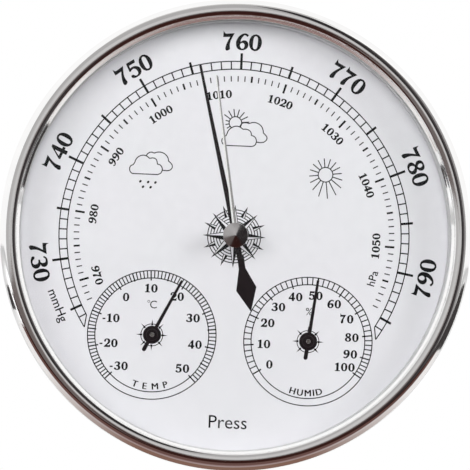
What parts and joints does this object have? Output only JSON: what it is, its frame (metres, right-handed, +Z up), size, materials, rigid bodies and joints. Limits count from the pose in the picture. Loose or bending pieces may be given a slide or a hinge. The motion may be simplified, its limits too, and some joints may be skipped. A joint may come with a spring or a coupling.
{
  "type": "analog weather station",
  "caption": "Round wall-hung analog weather station: aneroid barometer dial in a polished bezel, with thermometer and hygrometer sub-dials, a set pointer and a keyhole hanger.",
  "frame": {"origin": "centre of the flat back of the case, on the wall plane", "axes": "-Y out of the dial towards the viewer, +Y into the wall, +Z up the dial, +X to the right as seen from the front"},
  "size_m": [0.1278, 0.0397, 0.1278],
  "materials": {
    "case_plastic": "fine matt moulding grain",
    "zinc_steel": "zinc-plated pressed steel",
    "plated_steel": "nickel-plated turned steel",
    "brass": "stamped and turned brass",
    "spring_bronze": "hard-rolled bronze sheet",
    "bimetal": "rolled two-metal strip",
    "humidity_film": "metal strip with a dull humidity-sensitive coat",
    "black_paint": "satin black paint",
    "white_enamel": "satin white enamel with black print",
    "pale_plastic": "satin pale plastic",
    "grey_rubber": "matt sealing rubber",
    "clear_glass": "clear flat glass",
    "polished_steel": "mirror-polished steel"
  },
  "bodies": {
    "case": {"case_shell": "case_plastic", "hanger_plate": "zinc_steel", "hanger_screw_1": "zinc_steel", "hanger_screw_2": "zinc_steel", "base_plate": "zinc_steel", "front_plate": "brass", "movement_pillar_1": "brass", "movement_pillar_2": "brass", "movement_pillar_3": "brass", "plate_screw_1": "zinc_steel", "plate_screw_2": "zinc_steel", "plate_screw_3": "zinc_steel", "case_screw_1": "zinc_steel", "case_screw_2": "zinc_steel", "case_screw_3": "zinc_steel", "capsule": "spring_bronze", "regulator_leaf": "zinc_steel", "regulator_rivet": "plated_steel", "rocker_bracket": "zinc_steel", "bracket_screw_1": "zinc_steel", "bracket_screw_2": "zinc_steel", "hairspring": "spring_bronze", "bridge_plate": "brass", "bridge_pillar_1": "brass", "bridge_pillar_2": "brass", "bridge_screw_1": "zinc_steel", "bridge_screw_2": "zinc_steel", "thermometer_cage": "zinc_steel", "thermometer_coil": "bimetal", "hygrometer_cage": "zinc_steel", "hygrometer_coil": "humidity_film", "dial_plate": "white_enamel", "spacer_ring": "pale_plastic", "lens_gasket": "grey_rubber", "lens": "clear_glass", "lens_bush": "plated_steel", "bezel": "polished_steel"},
    "pressure_hand": {"pressure_hand": "black_paint", "centre_arbor": "plated_steel", "pinion": "brass", "hairspring_collet": "brass"},
    "sector": {"sector_gear": "brass", "sector_arbor": "plated_steel"},
    "rocker": {"rocker_shaft": "plated_steel", "lift_arm": "plated_steel", "drive_arm": "plated_steel"},
    "capsule_post": {"capsule_post": "brass"},
    "thermometer_hand": {"thermometer_hand": "black_paint", "thermometer_staff": "plated_steel"},
    "hygrometer_hand": {"hygrometer_hand": "black_paint", "hygrometer_staff": "plated_steel"},
    "set_pointer": {"set_knob": "polished_steel", "set_spring_washer": "spring_bronze", "set_hand": "plated_steel"},
    "adjuster": {"adjusting_screw": "brass"}
  },
  "joints": [
    {"name": "pressure_turn", "type": "hinge", "parent": "case", "child": "pressure_hand", "pos_m": [0, -0.03, 0], "axis": [0, 1, 0], "range_deg": [-109.97, 136.63], "stiffness_Nm_per_rad": 0.001},
    {"name": "sector_turn", "type": "hinge", "parent": "case", "child": "sector", "pos_m": [0, -0.022, 0.0216], "axis": [0, 1, 0], "range_deg": [-17.6, 14.2]},
    {"name": "rocker_turn", "type": "hinge", "parent": "case", "child": "rocker", "pos_m": [0, -0.01651, 0.0216], "axis": [1, 0, 0], "range_deg": [-6, 7.5]},
    {"name": "capsule_stroke", "type": "slide", "parent": "case", "child": "capsule_post", "axis": [0, -1, 0], "range_m": [-0.00047, 0.00038]},
    {"name": "thermometer_turn", "type": "hinge", "parent": "case", "child": "thermometer_hand", "pos_m": [-0.02128, -0.029, -0.02779], "axis": [0, 1, 0], "range_deg": [-161.7, 108.3], "stiffness_Nm_per_rad": 0.0002},
    {"name": "hygrometer_turn", "type": "hinge", "parent": "case", "child": "hygrometer_hand", "pos_m": [0.02128, -0.029, -0.02779], "axis": [0, 1, 0], "range_deg": [-129.9, 115.4], "stiffness_Nm_per_rad": 0.0002},
    {"name": "set_pointer_turn", "type": "hinge", "parent": "case", "child": "set_pointer", "pos_m": [0, -0.035, 0], "axis": [0, 1, 0], "continuous": true},
    {"name": "adjuster_turn", "type": "hinge", "parent": "case", "child": "adjuster", "pos_m": [0.0215, -0.003, 0.018], "axis": [0, 1, 0], "range_deg": [-540, 540]}
  ],
  "couplings": [
    {"joint": "sector_turn", "follows": "pressure_turn", "ratio": -0.125},
    {"joint": "rocker_turn", "follows": "pressure_turn", "ratio": 0.053097},
    {"joint": "capsule_stroke", "follows": "pressure_turn", "m_per_rad": -0.00019115}
  ]
}
